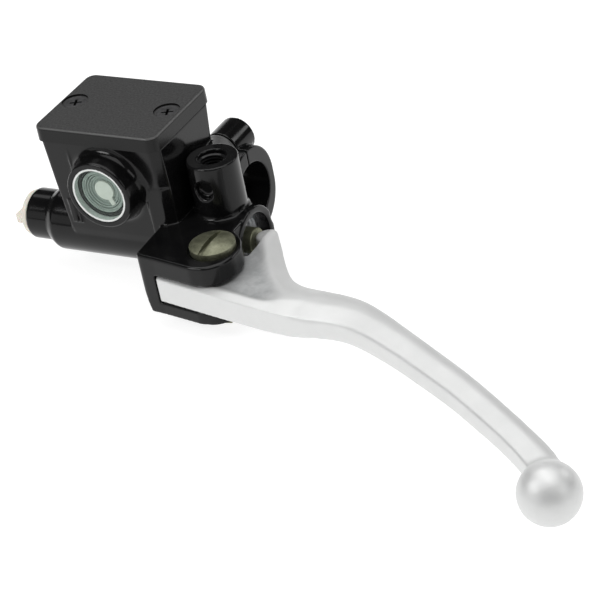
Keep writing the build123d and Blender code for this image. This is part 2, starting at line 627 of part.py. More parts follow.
WHOLE_CASTING = casting()
NODES = {
    "body_casting": lambda: casting_rest(WHOLE_CASTING),
    "reservoir_shell": lambda: reservoir_shell(WHOLE_CASTING),
    "mirror_boss": lambda: mirror_boss(WHOLE_CASTING),
    "reservoir_cover": cover,
    "cover_screws": cover_screws,
    "diaphragm": diaphragm,
    "diaphragm_plate": diaphragm_plate,
    "port_baffle": port_baffle,
    "sight_glass_lens": sight_glass_lens,
    "sight_glass_ring": sight_glass_ring,
    "sight_glass_oring": sight_glass_oring,
    "sight_glass_reflector": sight_glass_reflector,
    "piston": piston,
    "primary_cup": lambda: cup_seal(CUP_X0, CUP_X1, 3.02),
    "secondary_cup": lambda: cup_seal(6.65, 10.15, 4.42),
    "return_spring": return_spring,
    "stop_washer": stop_washer,
    "circlip": circlip,
    "banjo_plug": banjo_plug,
    "lever": lever,
    "pivot_bush": pivot_bush,
    "pivot_bolt": pivot_bolt,
    "pivot_nut": pivot_nut,
    "clamp_cap": clamp_cap,
    "clamp_bolts": clamp_bolts,
}

for name, make in NODES.items():
    export_step(make(), f"parts/{name}.step")
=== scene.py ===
"""Looks of a handlebar brake master cylinder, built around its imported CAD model. Metres, Z up."""

import json
import math

import bmesh
import bpy
import numpy as np
from mathutils import Matrix, Vector


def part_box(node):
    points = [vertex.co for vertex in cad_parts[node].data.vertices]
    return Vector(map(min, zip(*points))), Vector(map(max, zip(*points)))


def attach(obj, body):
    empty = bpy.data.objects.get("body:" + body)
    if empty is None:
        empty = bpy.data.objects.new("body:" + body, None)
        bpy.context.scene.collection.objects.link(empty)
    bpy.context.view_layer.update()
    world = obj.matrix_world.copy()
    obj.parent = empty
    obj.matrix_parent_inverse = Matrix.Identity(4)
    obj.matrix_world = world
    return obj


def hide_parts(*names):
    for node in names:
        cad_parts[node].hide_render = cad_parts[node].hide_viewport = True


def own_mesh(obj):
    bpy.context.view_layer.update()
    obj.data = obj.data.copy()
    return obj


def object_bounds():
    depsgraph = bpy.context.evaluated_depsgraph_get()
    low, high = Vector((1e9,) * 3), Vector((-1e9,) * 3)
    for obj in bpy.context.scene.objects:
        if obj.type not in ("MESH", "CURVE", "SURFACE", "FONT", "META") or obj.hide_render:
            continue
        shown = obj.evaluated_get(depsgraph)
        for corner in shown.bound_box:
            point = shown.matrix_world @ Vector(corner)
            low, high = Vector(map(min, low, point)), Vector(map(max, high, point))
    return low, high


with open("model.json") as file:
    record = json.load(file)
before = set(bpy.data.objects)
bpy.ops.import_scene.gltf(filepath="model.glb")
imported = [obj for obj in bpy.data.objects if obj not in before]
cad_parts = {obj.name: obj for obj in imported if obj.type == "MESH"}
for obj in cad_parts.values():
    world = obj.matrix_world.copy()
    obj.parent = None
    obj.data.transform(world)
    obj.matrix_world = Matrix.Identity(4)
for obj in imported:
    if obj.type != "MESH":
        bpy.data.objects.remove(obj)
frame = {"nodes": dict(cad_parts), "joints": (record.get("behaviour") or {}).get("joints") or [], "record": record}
cad_low, cad_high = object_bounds()

MM = 0.001
SMOOTHING = 0.5     # share of the way that each smoothing pass moves a point
LEAST_WEIGHT = 0.02     # points that would move less than this share are left alone
record = frame["record"]
mounts = {m["name"]: m for m in record["mounts"]}
joints = {j["name"]: j for j in frame["joints"]}
slot_of = {s["node"]: s["material_slot"] for s in record["subparts"]}
collection = bpy.context.scene.collection

# places that the pieces are built from, all read from the frame
PIVOT = Vector(joints["lever_pivot"]["pos_m"])
MIRROR_X, MIRROR_Y = mounts["mirror_thread"]["pos_m"][:2]
MIRROR_R = mounts["mirror_thread"]["dims"]["r_mm"] * MM
MIRROR_DEPTH = 17.0 * MM
# turns a lathed or flat shape, drawn with Z up, to face the front of the part
FACING_FRONT = Matrix(((1, 0, 0, 0), (0, 0, -1, 0), (0, 1, 0, 0), (0, 0, 0, 1)))


def centre(node):
    low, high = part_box(node)
    return (low + high) / 2


GLASS = centre("sight_glass_lens")
BORE = centre("piston")
boss_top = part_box("mirror_boss")[1].z
lever_low, lever_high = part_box("lever")
cover_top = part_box("reservoir_cover")[1].z


# ---------------------------------------------------------------- mesh helpers
def new_piece(name, mesh):
    piece = bpy.data.objects.new(name, mesh)
    collection.objects.link(piece)
    return piece


def mesh_from(name, verts, faces):
    mesh = bpy.data.meshes.new(name)
    mesh.from_pydata([tuple(v) for v in verts], [], faces)
    mesh.update()
    return mesh


def apply_modifiers(piece):
    """Replaces the piece's mesh by what its modifiers make of it."""
    graph = bpy.context.evaluated_depsgraph_get()
    graph.update()
    made = bpy.data.meshes.new_from_object(piece.evaluated_get(graph))
    piece.modifiers.clear()
    piece.data = made


def shade_smooth(piece, angle=None):
    mesh = piece.data
    mesh.polygons.foreach_set("use_smooth", [True] * len(mesh.polygons))
    if angle is not None:
        mesh.set_sharp_from_angle(angle=math.radians(angle))


def coordinates(mesh):
    co = np.empty(len(mesh.vertices) * 3)
    mesh.vertices.foreach_get("co", co)
    return co.reshape(-1, 3)


def set_coordinates(mesh, co):
    mesh.vertices.foreach_set("co", co.astype(np.float32).ravel())
    mesh.update()


def smoothstep(x, low, high):
    t = np.clip((x - low) / (high - low), 0.0, 1.0)
    return t * t * (3 - 2 * t)


def joined(name, parts):
    """One mesh of several (vertices, faces) shapes."""
    verts, faces = [], []
    for part_verts, part_faces in parts:
        base = len(verts)
        verts += [tuple(v) for v in part_verts]
        faces += [[base + i for i in face] for face in part_faces]
    return mesh_from(name, verts, faces)


def voxelled(piece, voxel, passes):
    """Turns overlapping closed shapes into one skin and softens its edges."""
    remesh = piece.modifiers.new("skin", "REMESH")
    remesh.mode = "VOXEL"
    remesh.voxel_size = voxel
    remesh.adaptivity = 0.0
    smooth = piece.modifiers.new("soft", "SMOOTH")
    smooth.factor = SMOOTHING
    smooth.iterations = passes
    apply_modifiers(piece)


def add_smoothing(piece, name, weight, passes):
    """Adds a smoothing modifier that works by each point's own weight."""
    group = piece.vertex_groups.new(name=name)
    for index in np.nonzero(weight > LEAST_WEIGHT)[0]:
        group.add([int(index)], float(weight[index]), "REPLACE")
    smooth = piece.modifiers.new(name, "SMOOTH")
    smooth.vertex_group = name
    smooth.factor = SMOOTHING
    smooth.iterations = passes


def lathe(profile, steps, place):
    """A closed ring or disc turned from (radius, depth) points round place's Z axis."""
    verts, faces = [], []
    count = len(profile)
    for i in range(steps):
        a = 2 * math.pi * i / steps
        for r, z in profile:
            verts.append(place @ Vector((r * math.cos(a), r * math.sin(a), z)))
    for i in range(steps):
        for j in range(count):
            a, b = i * count + j, i * count + (j + 1) % count
            c, d = ((i + 1) % steps) * count + (j + 1) % count, ((i + 1) % steps) * count + j
            faces.append([a, d, c, b])
    return verts, faces


def prism(points, bottom, top):
    """An outline of (x, y) points, standing from bottom to top."""
    n = len(points)
    verts = [(x, y, bottom) for x, y in points] + [(x, y, top) for x, y in points]
    faces = [[i, (i + 1) % n, n + (i + 1) % n, n + i] for i in range(n)]
    faces += [list(range(n))[::-1], list(range(n, 2 * n))]
    return verts, faces


def circle(x, y, radius, steps):
    turn = [2 * math.pi * i / steps for i in range(steps)]
    return [(x + radius * math.cos(a), y + radius * math.sin(a)) for a in turn]


def spline(points, samples):
    """A smooth line (Catmull-Rom) through rows of numbers, sampled evenly in each span."""
    p = np.array(points, float)
    p = np.vstack([2 * p[0] - p[1], p, 2 * p[-1] - p[-2]])
    rows = []
    for i in range(1, len(p) - 2):
        for t in np.linspace(0, 1, samples, endpoint=False):
            a, b, c, d = p[i - 1], p[i], p[i + 1], p[i + 2]
            rows.append(0.5 * (2 * b + (c - a) * t + (2 * a - 5 * b + 4 * c - d) * t * t
                               + (3 * b - a - 3 * c + d) * t ** 3))
    rows.append(p[-2])
    return np.array(rows)


def helix_ridge(place, root, crest, pitch, turns, width, steps=48):
    """A thread's ridge as one closed strip: root and crest radii, tapering out at both ends."""
    verts, faces = [], []
    total = int(turns * steps)
    for i in range(total + 1):
        a = 2 * math.pi * i / steps
        fade = min(1.0, i / (0.4 * steps), (total - i) / (0.4 * steps))
        z = pitch * i / steps
        top = root + (crest - root) * fade
        for r, dz in ((root, -width / 2), (top, -width * 0.12), (top, width * 0.12), (root, width / 2)):
            verts.append(place @ Vector((r * math.cos(a), r * math.sin(a), z + dz)))
    for i in range(total):
        for j in range(4):
            a, b = i * 4 + j, i * 4 + (j + 1) % 4
            faces.append([a, b, b + 4, a + 4])
    faces.append([3, 2, 1, 0])
    faces.append([total * 4 + j for j in range(4)])
    return verts, faces


def recalculate_normals(mesh):
    bm = bmesh.new()
    bm.from_mesh(mesh)
    bmesh.ops.recalc_face_normals(bm, faces=bm.faces)
    bm.to_mesh(mesh)
    bm.free()


# ---------------------------------------------------------------- materials
class Nodes:
    """A material's node tree with short ways to add nodes."""

    def __init__(self, name):
        self.material = bpy.data.materials.new(name)
        self.material.use_nodes = True
        self.tree = self.material.node_tree
        self.tree.nodes.clear()
        self.out = self.tree.nodes.new("ShaderNodeOutputMaterial")
        self.shader = self.tree.nodes.new("ShaderNodeBsdfPrincipled")
        self.link(self.shader.outputs[0], self.out.inputs["Surface"])
        self.place = self.tree.nodes.new("ShaderNodeTexCoord").outputs["Object"]

    def link(self, a, b):
        self.tree.links.new(a, b)

    def noise(self, scale, detail=4.0, roughness=0.55):
        node = self.tree.nodes.new("ShaderNodeTexNoise")
        node.inputs["Scale"].default_value = scale
        node.inputs["Detail"].default_value = detail
        node.inputs["Roughness"].default_value = roughness
        node.inputs["Distortion"].default_value = 0.0
        self.link(self.place, node.inputs["Vector"])
        return node.outputs["Fac"]

    def cells(self, scale):
        node = self.tree.nodes.new("ShaderNodeTexVoronoi")
        node.feature = "F1"
        node.inputs["Scale"].default_value = scale
        self.link(self.place, node.inputs["Vector"])
        return node.outputs["Distance"]

    def edges(self, low, high):
        """1 on the outer edges of a dense mesh, 0 elsewhere."""
        geometry = self.tree.nodes.new("ShaderNodeNewGeometry")
        return self.ranged(geometry.outputs["Pointiness"], low, high, 0.0, 1.0)

    def attribute(self, name):
        """A number stored on the mesh's points."""
        node = self.tree.nodes.new("ShaderNodeAttribute")
        node.attribute_name = name
        return node.outputs["Fac"]

    def upward(self, low, high):
        """1 where the surface faces up, 0 where it stands."""
        apart = self.tree.nodes.new("ShaderNodeSeparateXYZ")
        texture = self.tree.nodes.new("ShaderNodeTexCoord")
        self.link(texture.outputs["Normal"], apart.inputs[0])
        return self.ranged(apart.outputs["Z"], low, high, 0.0, 1.0)

    def ranged(self, source, low, high, out_low, out_high):
        node = self.tree.nodes.new("ShaderNodeMapRange")
        node.inputs["From Min"].default_value = low
        node.inputs["From Max"].default_value = high
        node.inputs["To Min"].default_value = out_low
        node.inputs["To Max"].default_value = out_high
        self.link(source, node.inputs["Value"])
        return node.outputs["Result"]

    def ramp(self, source, stops):
        node = self.tree.nodes.new("ShaderNodeValToRGB")
        ramp = node.color_ramp
        while len(ramp.elements) < len(stops):
            ramp.elements.new(0.5)
        for element, (at, colour) in zip(ramp.elements, stops):
            element.position = at
            element.color = (*colour, 1.0)
        self.link(source, node.inputs["Fac"])
        return node.outputs["Color"]

    def mixed(self, share, a, b):
        node = self.tree.nodes.new("ShaderNodeMix")
        node.data_type = "RGBA"
        self.link(share, node.inputs["Factor"])
        for value, socket in ((a, node.inputs[6]), (b, node.inputs[7])):
            if isinstance(value, tuple):
                socket.default_value = (*value, 1.0)
            else:
                self.link(value, socket)
        return node.outputs[2]

    def times(self, a, b):
        node = self.tree.nodes.new("ShaderNodeMath")
        node.operation = "MULTIPLY"
        self.link(a, node.inputs[0])
        if isinstance(b, float):
            node.inputs[1].default_value = b
        else:
            self.link(b, node.inputs[1])
        return node.outputs[0]

    def bump(self, layers):
        """Bumps one on another: (height, strength, depth in metres)."""
        normal = None
        for height, strength, depth in layers:
            node = self.tree.nodes.new("ShaderNodeBump")
            node.inputs["Strength"].default_value = strength
            node.inputs["Distance"].default_value = depth
            self.link(height, node.inputs["Height"])
            if normal is not None:
                self.link(normal, node.inputs["Normal"])
            normal = node.outputs["Normal"]
        self.link(normal, self.shader.inputs["Normal"])

    def colour(self, socket):
        self.link(socket, self.shader.inputs["Base Color"])

    def rough(self, socket):
        self.link(socket, self.shader.inputs["Roughness"])

    def set(self, **values):
        for name, value in values.items():
            self.shader.inputs[name.replace("_", " ")].default_value = value
        return self


def body_paint():
    """Semi-gloss black paint over a die casting: slight orange peel, and a painted highlight that makes it a
    little paler on its edges.
    """
    n = Nodes("body_paint").set(Specular_IOR_Level=0.25)
    tone = n.ramp(n.noise(90, 5), [(0.35, (0.0035, 0.0035, 0.0037)), (0.7, (0.006, 0.006, 0.0062))])
    # painted highlight: the sharpest edges are mixed towards grey, standing in for the glint of the lamps along
    # them
    n.colour(n.mixed(n.times(n.edges(0.52, 0.62), 0.35), tone, (0.045, 0.045, 0.046)))
    n.rough(n.ranged(n.noise(160, 4), 0.3, 0.7, 0.1, 0.19))
    n.bump([(n.noise(260, 2), 0.03, 0.0002), (n.noise(900, 2), 0.03, 0.00004)])
    return n.material


def cover_plastic():
    """Matt black plastic with a fine-grained top panel and smoother sides. The top is painted lighter than the
    sides as painted light from above, and the edge fillets carry a painted highlight.
    """
    n = Nodes("cover_plastic").set(Specular_IOR_Level=0.22)
    # top panel: its grain, roughness and bumps are the plastic's own; its lighter colour than the sides is painted
    # light from above
    top = n.upward(0.75, 0.95)
    grain = n.ramp(n.noise(1300, 6, 0.72), [(0.3, (0.018, 0.018, 0.018)), (0.72, (0.062, 0.062, 0.062))])
    # painted highlight: a paler band on the fillets round the top edges stands in for the front lamp's glint
    rim = n.times(n.upward(0.2, 0.45), n.upward(0.985, 0.9))
    sides_with_painted_highlight = n.mixed(n.times(rim, 0.85), (0.006, 0.006, 0.006), (0.1, 0.1, 0.099))
    n.colour(n.mixed(top, sides_with_painted_highlight, grain))
    n.rough(n.ranged(top, 0.0, 1.0, 0.24, 0.55))
    n.bump([(n.times(n.cells(2200), top), 0.35, 0.00008), (n.times(n.noise(3500, 3), top), 0.3, 0.00006)])
    return n.material


def black_steel():
    n = Nodes("black_steel").set(Metallic=0.35, Specular_IOR_Level=0.5)
    n.colour(n.ramp(n.noise(600, 5), [(0.3, (0.03, 0.03, 0.031)), (0.75, (0.075, 0.075, 0.077))]))
    n.rough(n.ranged(n.noise(1200, 4), 0.3, 0.7, 0.38, 0.52))
    n.bump([(n.noise(2500, 3), 0.2, 0.00003)])
    return n.material


def recessed_steel():
    """Blackened screw heads, with painted shade in their recess."""
    n = Nodes("recessed_steel").set(Metallic=0.35, Specular_IOR_Level=0.4)
    apart = n.tree.nodes.new("ShaderNodeSeparateXYZ")
    n.link(n.place, apart.inputs[0])
    recess_floor, head_face = cover_top - 1.3 * MM, cover_top - 0.85 * MM
    face = n.ranged(apart.outputs["Z"], recess_floor, head_face, 0.0, 1.0)
    steel = n.ramp(n.noise(600, 5), [(0.3, (0.03, 0.03, 0.031)), (0.75, (0.075, 0.075, 0.077))])
    # painted shade: below the head's face the colour goes near black, where the recess is in shade
    n.colour(n.mixed(face, (0.002, 0.002, 0.002), steel))
    n.rough(n.ranged(n.noise(1200, 4), 0.3, 0.7, 0.42, 0.56))
    n.bump([(n.noise(2500, 3), 0.2, 0.00003)])
    return n.material


def rubber():
    n = Nodes("rubber").set(Specular_IOR_Level=0.35)
    n.colour(n.ramp(n.noise(500, 5), [(0.3, (0.012, 0.012, 0.012)), (0.75, (0.024, 0.024, 0.024))]))
    n.rough(n.ranged(n.noise(900, 4), 0.3, 0.7, 0.55, 0.75))
    n.bump([(n.noise(2400, 4), 0.3, 0.00004)])
    return n.material


def plate_plastic():
    n = Nodes("plate_plastic")
    n.colour(n.ramp(n.noise(300, 5), [(0.3, (0.5, 0.5, 0.46)), (0.75, (0.6, 0.6, 0.56))]))
    n.rough(n.ranged(n.noise(900, 4), 0.3, 0.7, 0.4, 0.55))
    n.bump([(n.noise(2000, 3), 0.2, 0.00003)])
    return n.material


def zinc_steel():
    n = Nodes("zinc_steel").set(Metallic=1.0)
    n.colour(n.ramp(n.cells(900), [(0.1, (0.46, 0.47, 0.48)), (0.7, (0.62, 0.63, 0.64))]))
    n.rough(n.ranged(n.noise(1100, 5), 0.3, 0.7, 0.25, 0.45))
    n.bump([(n.noise(1800, 4), 0.2, 0.00003)])
    return n.material


def yellow_zinc():
    """Olive-yellow chromated zinc: mottled, satin, darker in its patches."""
    n = Nodes("yellow_zinc").set(Metallic=0.85)
    olive = [(0.3, (0.11, 0.115, 0.075)), (0.52, (0.2, 0.205, 0.14)), (0.75, (0.3, 0.305, 0.22))]
    wide = n.ramp(n.noise(260, 6, 0.65), olive)
    n.colour(n.mixed(n.ranged(n.noise(1500, 6, 0.7), 0.5, 0.72, 0.0, 0.55), wide, (0.07, 0.072, 0.045)))
    n.rough(n.ranged(n.noise(700, 5), 0.3, 0.7, 0.42, 0.58))
    n.bump([(n.noise(1500, 5), 0.25, 0.00005)])
    return n.material


def sight_glass():
    """Clear glass that lets the lamps through to the disc behind it, with its gloss on top."""
    n = Nodes("sight_glass").set(Specular_IOR_Level=0.5)
    n.colour(n.ramp(n.noise(60, 3), [(0.3, (0.5, 0.56, 0.53)), (0.7, (0.56, 0.62, 0.59))]))
    n.rough(n.ranged(n.noise(400, 4), 0.3, 0.7, 0.03, 0.08))
    n.bump([(n.noise(350, 3), 0.05, 0.00003)])
    clear = n.tree.nodes.new("ShaderNodeBsdfTransparent")
    clear.inputs["Color"].default_value = (0.94, 0.97, 0.955, 1)
    facing = n.tree.nodes.new("ShaderNodeLayerWeight")
    facing.inputs["Blend"].default_value = 0.5
    mix = n.tree.nodes.new("ShaderNodeMixShader")
    n.link(n.ranged(facing.outputs["Facing"], 0.3, 1.0, 0.03, 0.6), mix.inputs[0])
    n.link(clear.outputs[0], mix.inputs[1])
    n.link(n.shader.outputs[0], mix.inputs[2])
    n.link(mix.outputs[0], n.out.inputs["Surface"])
    return n.material


def glass_ring():
    n = Nodes("glass_ring")
    n.colour(n.ramp(n.noise(500, 5), [(0.3, (0.78, 0.8, 0.78)), (0.75, (0.88, 0.9, 0.88))]))
    n.rough(n.ranged(n.noise(900, 4), 0.3, 0.7, 0.22, 0.38))
    n.bump([(n.noise(1500, 3), 0.15, 0.00003)])
    return n.material


def glass_well():
    """Grey-green moulded plastic of the sight glass's stepped cup."""
    n = Nodes("glass_well").set(Specular_IOR_Level=0.5)
    n.colour(n.ramp(n.noise(400, 5), [(0.3, (0.3, 0.34, 0.32)), (0.75, (0.42, 0.46, 0.43))]))
    n.rough(n.ranged(n.noise(900, 4), 0.3, 0.7, 0.25, 0.42))
    n.bump([(n.noise(1500, 3), 0.15, 0.00003)])
    return n.material


def reflector_white():
    n = Nodes("reflector_white")
    n.colour(n.ramp(n.noise(350, 5), [(0.3, (0.82, 0.81, 0.76)), (0.75, (0.9, 0.89, 0.84))]))
    n.rough(n.ranged(n.noise(900, 4), 0.3, 0.7, 0.45, 0.6))
    n.bump([(n.noise(1700, 3), 0.2, 0.00003)])
    return n.material


def plug_cream():
    n = Nodes("plug_cream").set(Subsurface_Weight=0.15, Subsurface_Scale=0.002)
    n.colour(n.ramp(n.noise(250, 5), [(0.3, (0.74, 0.7, 0.6)), (0.75, (0.84, 0.81, 0.73))]))
    n.rough(n.ranged(n.noise(900, 4), 0.3, 0.7, 0.35, 0.5))
    n.bump([(n.noise(1300, 3), 0.25, 0.00005)])
    return n.material


def lever_aluminium():
    """Satin, tumbled and lacquered cast aluminium, with the recess painted darker: partly its blotchy as-cast
    skin, partly painted shade and painted reflection of the dark bracket.
    """
    n = Nodes("lever_aluminium").set(Metallic=0.5)
    satin = n.ramp(n.noise(55, 6, 0.6), [(0.3, (0.70, 0.705, 0.70)), (0.7, (0.75, 0.755, 0.75))])
    # the recess's tone: partly the blotchy as-cast skin, partly painted shade and painted reflection of the dark
    # bracket beside it
    cast_skin_and_painted_shade = n.ramp(n.noise(260, 6, 0.65), [(0.3, (0.30, 0.31, 0.315)), (0.7, (0.52, 0.53, 0.53))])
    n.colour(n.mixed(n.ranged(n.attribute("recess"), 0.0, 1.0, 0.0, 0.8), satin, cast_skin_and_painted_shade))
    fine = n.noise(1700, 4, 0.65)
    n.rough(n.ranged(n.noise(240, 5), 0.3, 0.7, 0.44, 0.52))
    n.bump([(n.noise(420, 4), 0.06, 0.00006), (fine, 0.12, 0.00003)])
    return n.material


def bush_bronze():
    n = Nodes("bush_bronze").set(Metallic=1.0)
    n.colour(n.ramp(n.noise(500, 5), [(0.3, (0.42, 0.28, 0.13)), (0.75, (0.58, 0.41, 0.22))]))
    n.rough(n.ranged(n.noise(900, 4), 0.3, 0.7, 0.35, 0.55))
    n.bump([(n.cells(1800), 0.25, 0.00004)])
    return n.material


MAKERS = (body_paint, cover_plastic, black_steel, recessed_steel, rubber, plate_plastic, zinc_steel,
          yellow_zinc, sight_glass, glass_ring, glass_well, reflector_white, plug_cream, lever_aluminium,
          bush_bronze)
material = {make.__name__: make() for make in MAKERS}


def dress(piece, name):
    piece.data.materials.clear()
    piece.data.materials.append(material[name])


for node, piece in frame["nodes"].items():
    for index in range(max(1, len(piece.material_slots))):
        if not piece.material_slots:
            piece.data.materials.append(material[slot_of[node]])
        piece.material_slots[index].material = material[slot_of[node]]


frame["nodes"]["cover_screws"].material_slots[0].material = material["recessed_steel"]
WORN_EDGE = 0.14 * MM
for node in ("pivot_bolt", "pivot_nut", "clamp_bolts", "banjo_plug"):
    worn = frame["nodes"][node].modifiers.new("worn_edges", "BEVEL")
    worn.width, worn.segments = WORN_EDGE, 2
    worn.limit_method, worn.angle_limit = "ANGLE", math.radians(40)


# ---------------------------------------------------------------- castings
CAST_VOXEL = 0.36 * MM
CAST_PASSES = 3
# the dimple in the mirror boss: its place, and how far the softening round it reaches
DIMPLE = Vector((MIRROR_X, MIRROR_Y - 8.4 * MM, 18.6 * MM))
DIMPLE_INNER, DIMPLE_OUTER, DIMPLE_PASSES = 3.4 * MM, 5.2 * MM, 22
# the sight glass's machined rim: how far it sinks behind the ring, its radii, and its edge
RING_SINK, RING_SEAT_R = 0.25 * MM, 10.5 * MM
GLASS_RIM_R, RIM_EDGE = 12.6 * MM, 0.3 * MM
RIM_DEPTH, RIM_FLARE = 3 * MM, 0.4 * MM
CASTING = ("body_casting", "reservoir_shell", "mirror_boss")


def soften_round(piece, point, inner, outer, passes):
    """Smooths the mesh round a point, fading out between two distances."""
    away = np.linalg.norm(coordinates(piece.data) - np.array(point), axis=1)
    weight = 1 - smoothstep(away, inner, outer)
    if weight.max() < LEAST_WEIGHT:
        return
    add_smoothing(piece, "soft", weight, passes)
    apply_modifiers(piece)
    piece.vertex_groups.clear()


def glass_rim():
    """The flat ring round the sight glass, with the crisp outer edge of a machined face."""
    face = (GLASS.x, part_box("sight_glass_ring")[0].y - RING_SINK, GLASS.z)
    place = Matrix.Translation(face) @ FACING_FRONT
    profile = [(RING_SEAT_R, 0), (GLASS_RIM_R - RIM_EDGE, 0), (GLASS_RIM_R, -RIM_EDGE),
               (GLASS_RIM_R + RIM_FLARE, -RIM_DEPTH), (RING_SEAT_R, -RIM_DEPTH)]
    verts, faces = lathe(profile, 120, place)
    mesh = mesh_from("glass_rim", verts, faces)
    recalculate_normals(mesh)
    return mesh


def cast_piece(name, nodes, body, extra=()):
    """The nodes' solids as one skin with the small radii of a painted casting."""
    mesh = bpy.data.meshes.new(name)
    bm = bmesh.new()
    for node in nodes:
        bm.from_mesh(frame["nodes"][node].data)
    for part in extra:
        bm.from_mesh(part)
    bm.to_mesh(mesh)
    bm.free()
    piece = new_piece(name, mesh)
    voxelled(piece, CAST_VOXEL, CAST_PASSES)
    soften_round(piece, DIMPLE, DIMPLE_INNER, DIMPLE_OUTER, DIMPLE_PASSES)
    shade_smooth(piece)
    dress(piece, "body_paint")
    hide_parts(*nodes)
    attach(piece, body)


cast_piece("cast_body", CASTING, "housing", (glass_rim(),))
cast_piece("cast_clamp_cap", ("clamp_cap",), "housing")


# ---------------------------------------------------------------- thread
M10_PITCH, THREAD_TURNS = 1.25 * MM, 12.2
RIDGE_ROOT, RIDGE_CREST = MIRROR_R + 0.15 * MM, MIRROR_R - 0.75 * MM
RIDGE_WIDTH, FIRST_TURN = 1.1 * MM, 0.8 * MM


def build_mirror_thread():
    """The turns of the M10 thread, as a ridge in the plain CAD bore."""
    start = Matrix.Translation((MIRROR_X, MIRROR_Y, boss_top - MIRROR_DEPTH + FIRST_TURN))
    verts, faces = helix_ridge(start, RIDGE_ROOT, RIDGE_CREST, M10_PITCH, THREAD_TURNS, RIDGE_WIDTH)
    mesh = mesh_from("mirror_thread_ridge", verts, faces)
    recalculate_normals(mesh)
    piece = new_piece("mirror_thread_ridge", mesh)
    shade_smooth(piece, 40)
    dress(piece, "body_paint")
    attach(piece, "housing")


build_mirror_thread()


# ---------------------------------------------------------------- lever
BUSH_PROUD = 0.12 * MM
HUB_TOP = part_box("pivot_bush")[1].z - BUSH_PROUD
HUB_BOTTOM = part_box("pivot_bush")[0].z + BUSH_PROUD
BALL_R = (lever_high.z - lever_low.z) / 2
BALL = Vector((lever_high.x - BALL_R, lever_low.y + BALL_R, lever_low.z + BALL_R))

# the hub's outline from above, in mm from the pivot: the front edge, the rear edge up the finger
# that pushes the piston, then the finger's tip and back round the pivot
HUB_FRONT = [(-18.3, -11.4), (0.8, -14.8), (14.0, -17.1), (24.8, -18.9), (36.0, -20.0), (44.0, -19.4)]
HUB_REAR = [(44.0, -6.0), (40.4, -4.2), (36.8, -3.3), (33.0, -2.2), (29.0, 0.2), (24.9, 4.6), (19.4, 12.0),
            (15.6, 17.6), (12.0, 22.6), (10.2, 25.0)]
HUB_FINGER = [(7.2, 25.4), (6.8, 11.4), (7.2, 8.6), (0.0, 9.5), (-5.8, 7.4), (-9.4, 2.6), (-10.4, -2.4),
              (-18.3, -2.8)]
# stations of the arm, from the pivot, in mm: x, y, its middle above the hub's middle, width, height
ARM = [(26.0, -10.7, 0.0, 16.0, 10.3), (31.8, -11.3, 0.0, 16.7, 10.2), (41.8, -12.0, 0.05, 17.0, 10.0),
       (54.8, -12.6, 0.1, 15.0, 9.8), (65.4, -16.1, 0.1, 13.0, 9.5), (80.0, -23.5, -0.1, 11.2, 9.2),
       (94.2, -31.4, -0.4, 10.6, 9.0), (107.6, -39.2, -0.7, 10.1, 8.9), (121.0, -48.0, -1.1, 9.8, 8.8),
       (131.6, -55.3, -1.5, 9.6, 8.7), (141.1, -62.5, -1.9, 9.8, 8.8), (149.6, -70.1, -2.3, 10.0, 9.0)]


def arm_rows():
    """Smooth stations along the arm: centre x, y, z, width, height and unit run, in metres."""
    rows = spline(ARM, 12)
    rows = rows * MM
    rows[:, 0] += PIVOT.x
    rows[:, 1] += PIVOT.y
    rows[:, 2] += (HUB_TOP + HUB_BOTTOM) / 2
    run = np.gradient(rows[:, :2], axis=0)
    run /= np.linalg.norm(run, axis=1)[:, None]
    return rows, run


# the arm's section, as shares of half its width (front is -1) and of half its height
ARM_SECTION = [(-1.0, -0.72), (-1.0, 0.5), (-0.93, 0.74), (-0.8, 0.86), (-0.1, 1.0), (0.4, 1.0),
               (0.92, 0.86), (1.0, 0.7), (1.0, -0.68), (0.8, -0.95), (-0.8, -0.98)]


def arm_skin():
    rows, run = arm_rows()
    n = len(ARM_SECTION)
    verts, faces = [], []
    for (x, y, z, width, height), (dx, dy) in zip(rows, run):
        for s, t in ARM_SECTION:
            verts.append((x - dy * s * width / 2, y + dx * s * width / 2, z + t * height / 2))
    for i in range(len(rows) - 1):
        for j in range(n):
            a, b = i * n + j, i * n + (j + 1) % n
            faces.append([a, a + n, b + n, b])
    faces.append(list(range(n)))
    faces.append([(len(rows) - 1) * n + j for j in range(n)][::-1])
    return verts, faces


def ball_skin(centre_point, radius, segments=48, rings=24):
    verts, faces = [], []
    for i in range(rings + 1):
        v = math.pi * i / rings
        for j in range(segments):
            u = 2 * math.pi * j / segments
            verts.append((centre_point.x + radius * math.sin(v) * math.cos(u),
                          centre_point.y + radius * math.sin(v) * math.sin(u),
                          centre_point.z + radius * math.cos(v)))
    for i in range(rings):
        for j in range(segments):
            a, b = i * segments + j, i * segments + (j + 1) % segments
            faces.append([a, a + segments, b + segments, b])
    return verts, faces


def distance_to_line(points, line):
    """Shortest distance in plan from each point to a run of joined segments."""
    best = np.full(len(points), 1e9)
    for a, b in zip(line[:-1], line[1:]):
        d = b - a
        t = np.clip(((points - a) @ d) / (d @ d), 0, 1)
        best = np.minimum(best, np.linalg.norm(points - a - t[:, None] * d, axis=1))
    return best


LEVER_VOXEL, LEVER_PASSES = 0.5 * MM, 2
NOSE_R, NOSE_OUT, NOSE_BELOW, NOSE_ABOVE = 4 * MM, 7.1 * MM, 3.6 * MM, 3.2 * MM
BUSH_SEAT_R, SEAT_DRILL = 5.52 * MM, 5 * MM
ARM_FROM = 22       # the arm's sample from which it gives the lever's outline in place of the hub
